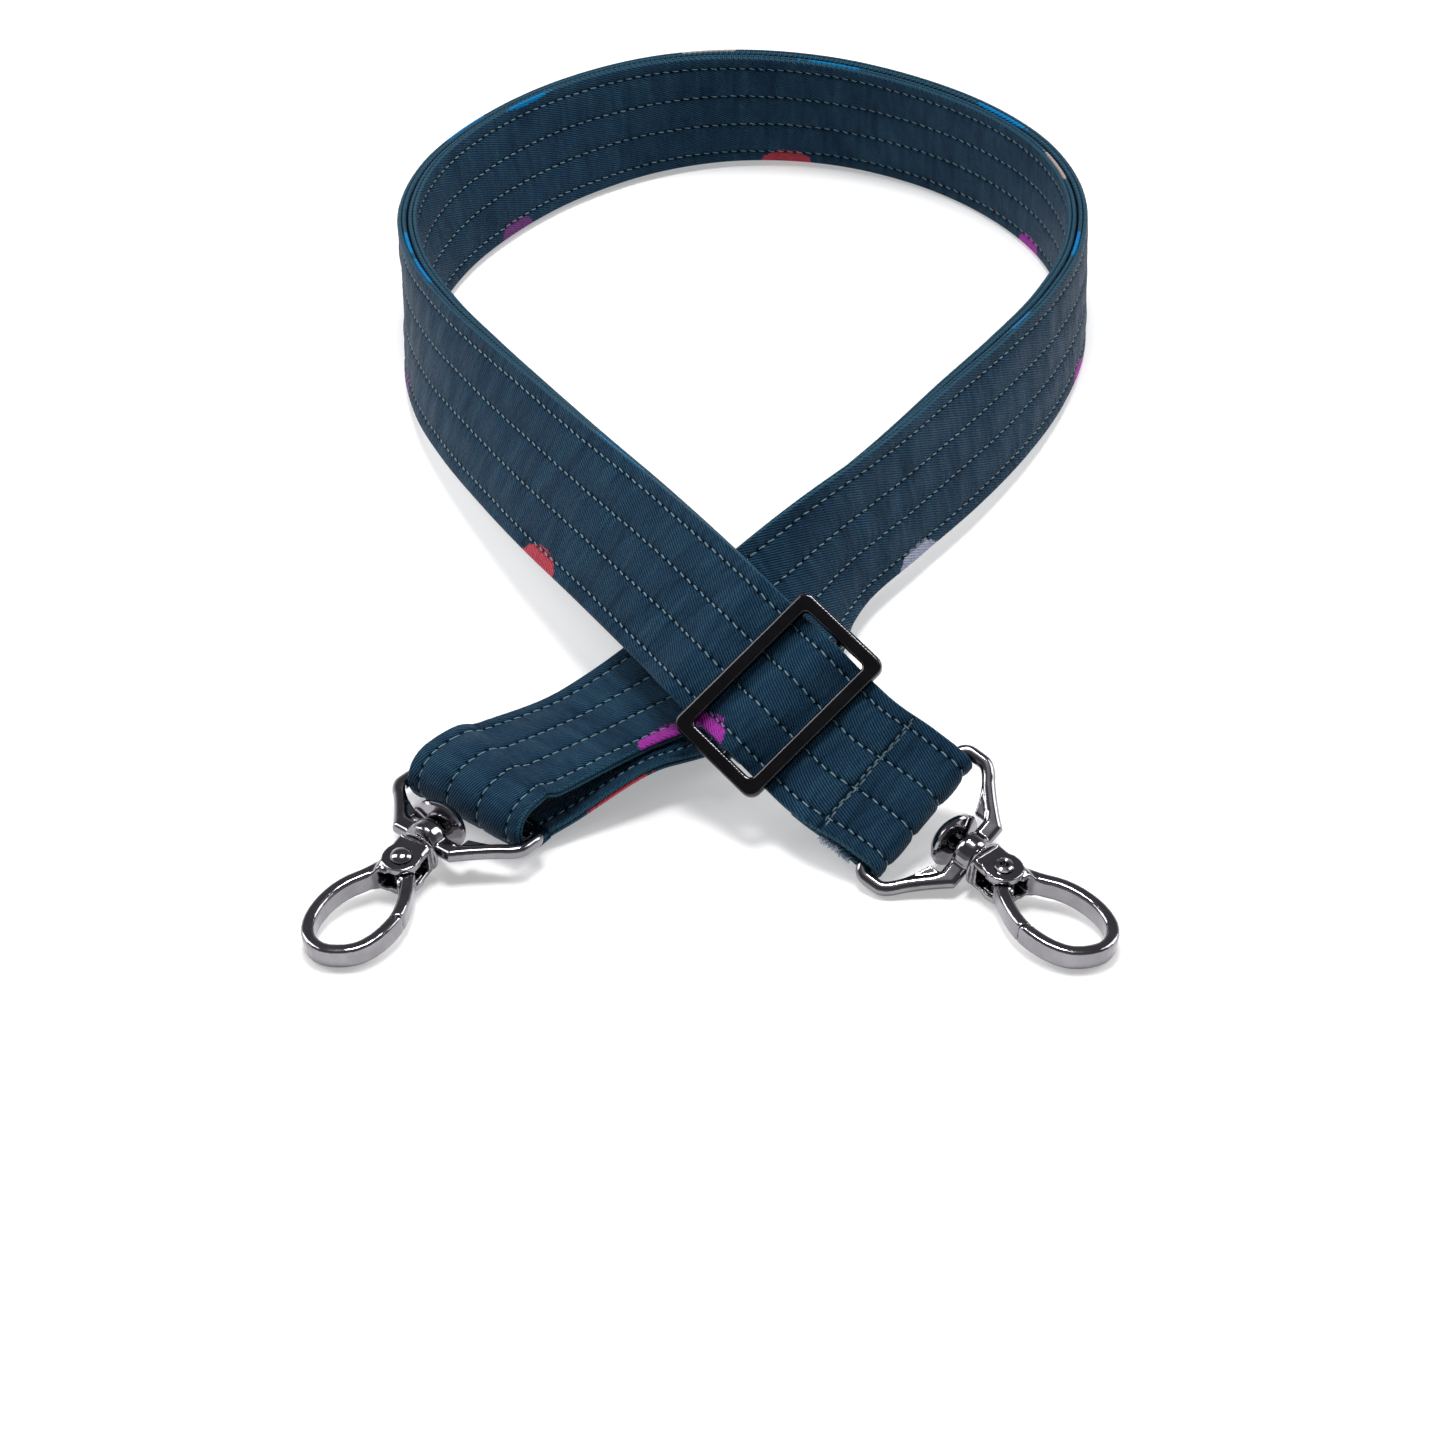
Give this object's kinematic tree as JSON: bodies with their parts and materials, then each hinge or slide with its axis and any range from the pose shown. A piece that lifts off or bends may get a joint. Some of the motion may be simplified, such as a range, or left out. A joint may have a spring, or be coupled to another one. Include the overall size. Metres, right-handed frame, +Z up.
{
  "type": "detachable bag strap",
  "caption": "Two-layer webbing bag strap with a three-bar length slider and a swivelling snap hook on a trapezoid ring at each end, laid out in a crossed loop.",
  "frame": {"origin": "bottom centre of the laid-out strap, on the surface it lies on", "axes": "+Z up; +Y from the hooks towards the far end of the loop; +X towards the hook next to the slider"},
  "size_m": [0.211, 0.3798, 0.049],
  "materials": {
    "twill": "teal-navy twill with four stitch rows and scattered printed dots at its edges",
    "gunmetal": "polished gunmetal plating",
    "dark_metal": "polished black-nickel plating",
    "spring_wire": "plain spring wire"
  },
  "bodies": {
    "strap": {"strap_outer_ply": "twill", "strap_inner_ply": "twill", "slider_frame": "dark_metal", "slider_centre_bar": "dark_metal"},
    "right_ring": {"right_ring": "gunmetal"},
    "right_hook": {"right_swivel_post": "gunmetal", "right_hook_body": "gunmetal", "right_gate_pin": "gunmetal"},
    "right_gate": {"right_gate": "gunmetal", "right_gate_spring": "spring_wire"},
    "left_ring": {"left_ring": "gunmetal"},
    "left_hook": {"left_swivel_post": "gunmetal", "left_hook_body": "gunmetal", "left_gate_pin": "gunmetal"},
    "left_gate": {"left_gate": "gunmetal", "left_gate_spring": "spring_wire"}
  },
  "joints": [
    {"name": "right_ring_tilt", "type": "hinge", "parent": "strap", "child": "right_ring", "pos_m": [0.04379, -0.14331, 0.01199], "axis": [0.6344, 0.67, 0.3856], "range_deg": [-100, 100]},
    {"name": "right_swivel", "type": "hinge", "parent": "right_ring", "child": "right_hook", "pos_m": [0.05485, -0.15042, 0.00773], "axis": [0.6535, -0.7518, -0.088], "continuous": true},
    {"name": "right_gate_swing", "type": "hinge", "parent": "right_hook", "child": "right_gate", "pos_m": [0.06553, -0.1627, 0.0063], "axis": [0.0577, -0.0664, 0.9961], "range_deg": [0, 35], "stiffness_Nm_per_rad": 0.015, "springref_deg": -20.05},
    {"name": "left_ring_tilt", "type": "hinge", "parent": "strap", "child": "left_ring", "pos_m": [-0.06433, -0.13498, 0.00667], "axis": [-0.7562, 0.6523, -0.0523], "range_deg": [-100, 28]},
    {"name": "left_swivel", "type": "hinge", "parent": "left_ring", "child": "left_hook", "pos_m": [-0.07408, -0.14467, 0.00773], "axis": [-0.4829, -0.8712, -0.088], "continuous": true},
    {"name": "left_gate_swing", "type": "hinge", "parent": "left_hook", "child": "left_gate", "pos_m": [-0.08196, -0.15891, 0.0063], "axis": [0.0427, 0.077, -0.9961], "range_deg": [0, 35], "stiffness_Nm_per_rad": 0.015, "springref_deg": -20.05}
  ]
}
